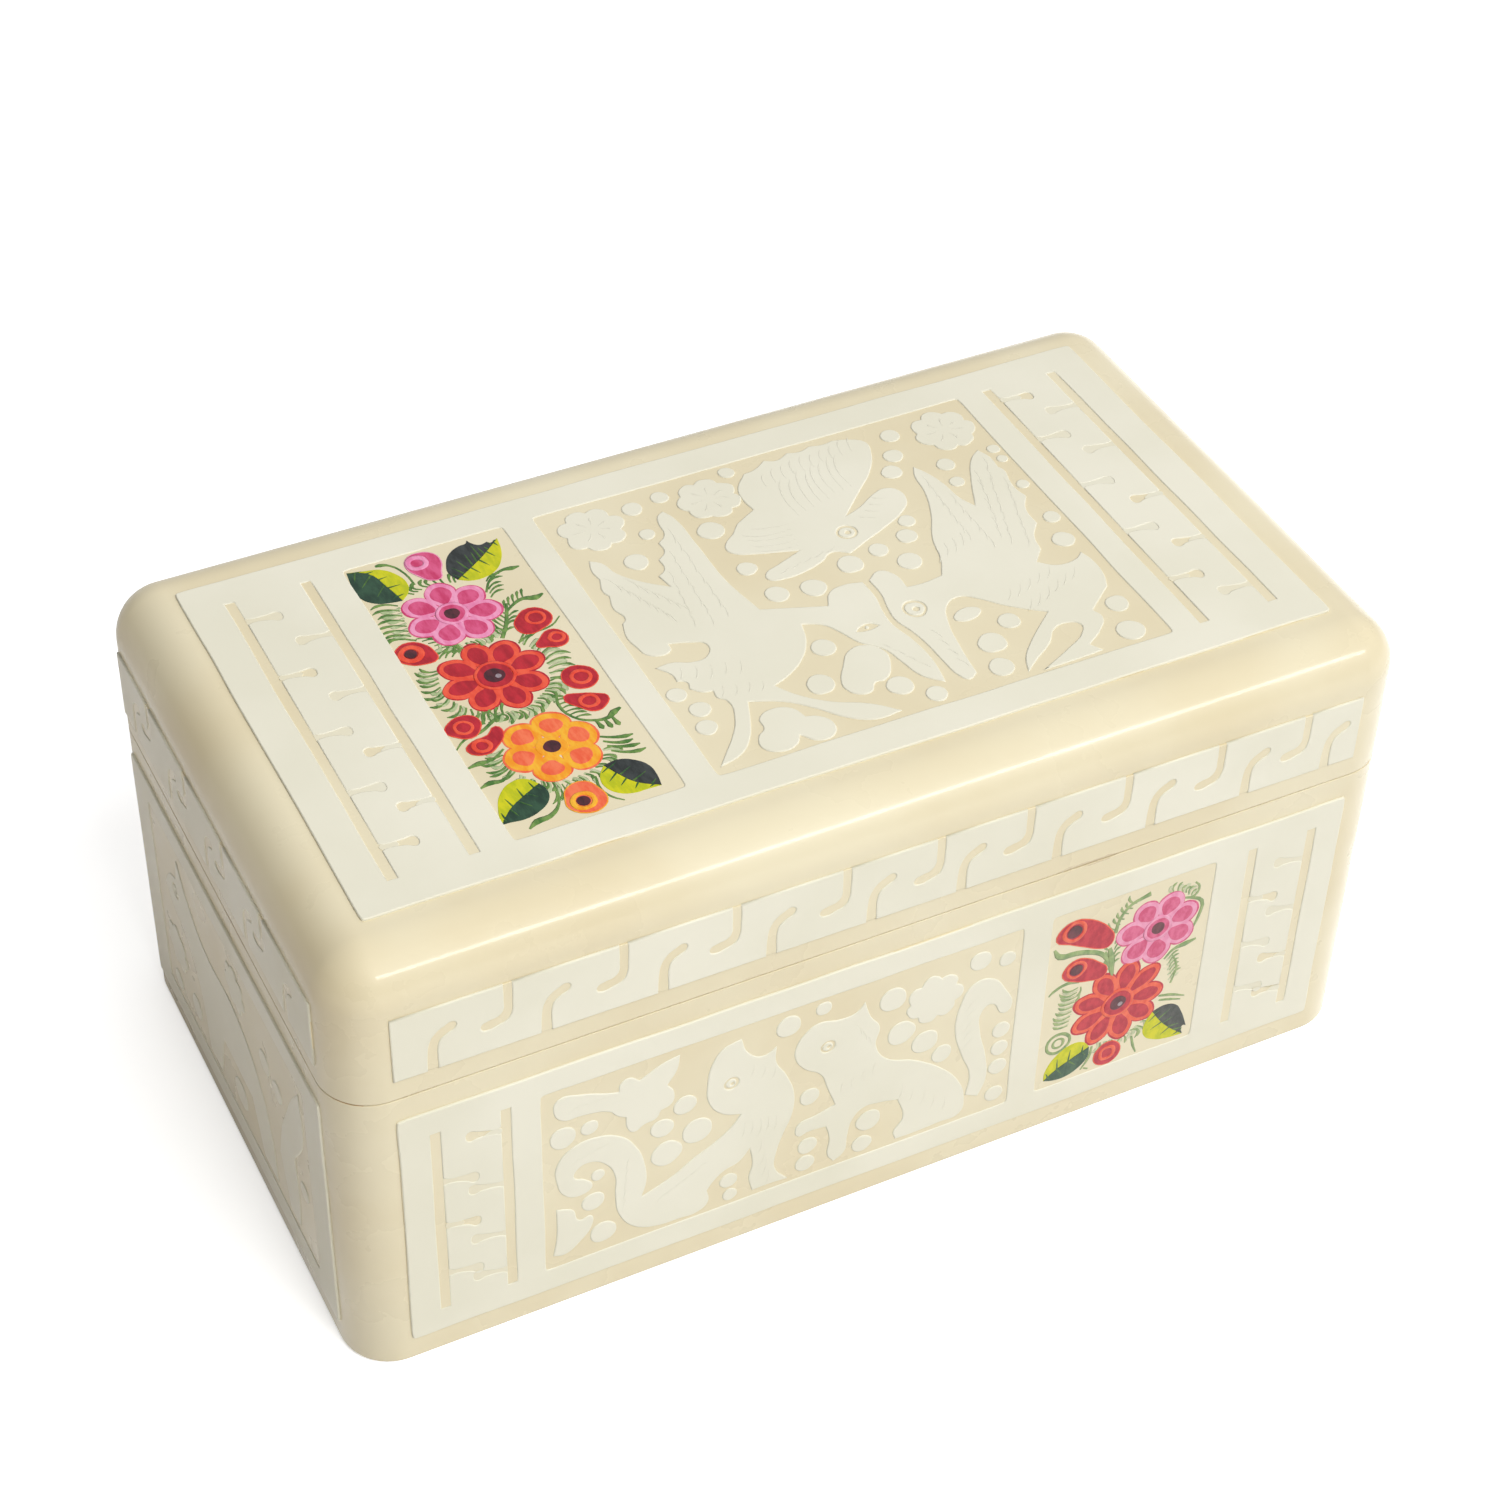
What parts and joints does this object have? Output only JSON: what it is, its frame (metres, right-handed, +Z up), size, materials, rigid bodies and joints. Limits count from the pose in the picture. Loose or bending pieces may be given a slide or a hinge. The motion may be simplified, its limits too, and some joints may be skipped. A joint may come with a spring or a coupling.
{
  "type": "lacquered wooden box",
  "caption": "Rectangular wooden keepsake box with a hinged lid, rounded edges and a scraped white-over-cream lacquer relief with flower windows.",
  "frame": {"origin": "on the surface the box rests on, under the middle of its footprint", "axes": "+X along the length to the right as seen from the front, +Y from the front to the hinged back, +Z up"},
  "size_m": [0.201, 0.112, 0.0944],
  "materials": {
    "ground_lacquer": "cream lacquer over wood outside, bare pale wood inside, soft gloss",
    "white_lacquer": "warm white lacquer coat, burnished to a soft gloss, edges softened by the scraper",
    "bare_wood": "bare planed wood, fine straight grain, matt",
    "hinge_brass": "dull brass, light tarnish",
    "pin_brass": "plain drawn brass wire"
  },
  "bodies": {
    "base": {"base_back_board": "ground_lacquer", "base_back_relief": "white_lacquer", "base_front_board": "ground_lacquer", "base_front_relief": "white_lacquer", "base_hinge_leaf_left": "hinge_brass", "base_hinge_leaf_right": "hinge_brass", "base_left_board": "ground_lacquer", "base_left_relief": "white_lacquer", "base_right_board": "ground_lacquer", "base_right_relief": "white_lacquer", "bottom_board": "bare_wood", "hinge_pin_left": "pin_brass", "hinge_pin_right": "pin_brass"},
    "lid": {"lid_back_board": "ground_lacquer", "lid_back_relief": "white_lacquer", "lid_front_board": "ground_lacquer", "lid_front_relief": "white_lacquer", "lid_hinge_leaf_left": "hinge_brass", "lid_hinge_leaf_right": "hinge_brass", "lid_left_board": "ground_lacquer", "lid_left_relief": "white_lacquer", "lid_right_board": "ground_lacquer", "lid_right_relief": "white_lacquer", "lid_top_board": "ground_lacquer", "lid_top_relief": "white_lacquer"}
  },
  "joints": [
    {"name": "lid_hinge", "type": "hinge", "parent": "base", "child": "lid", "pos_m": [0, 0.0531, 0.065], "axis": [-1, 0, 0], "range_deg": [0, 98]}
  ]
}
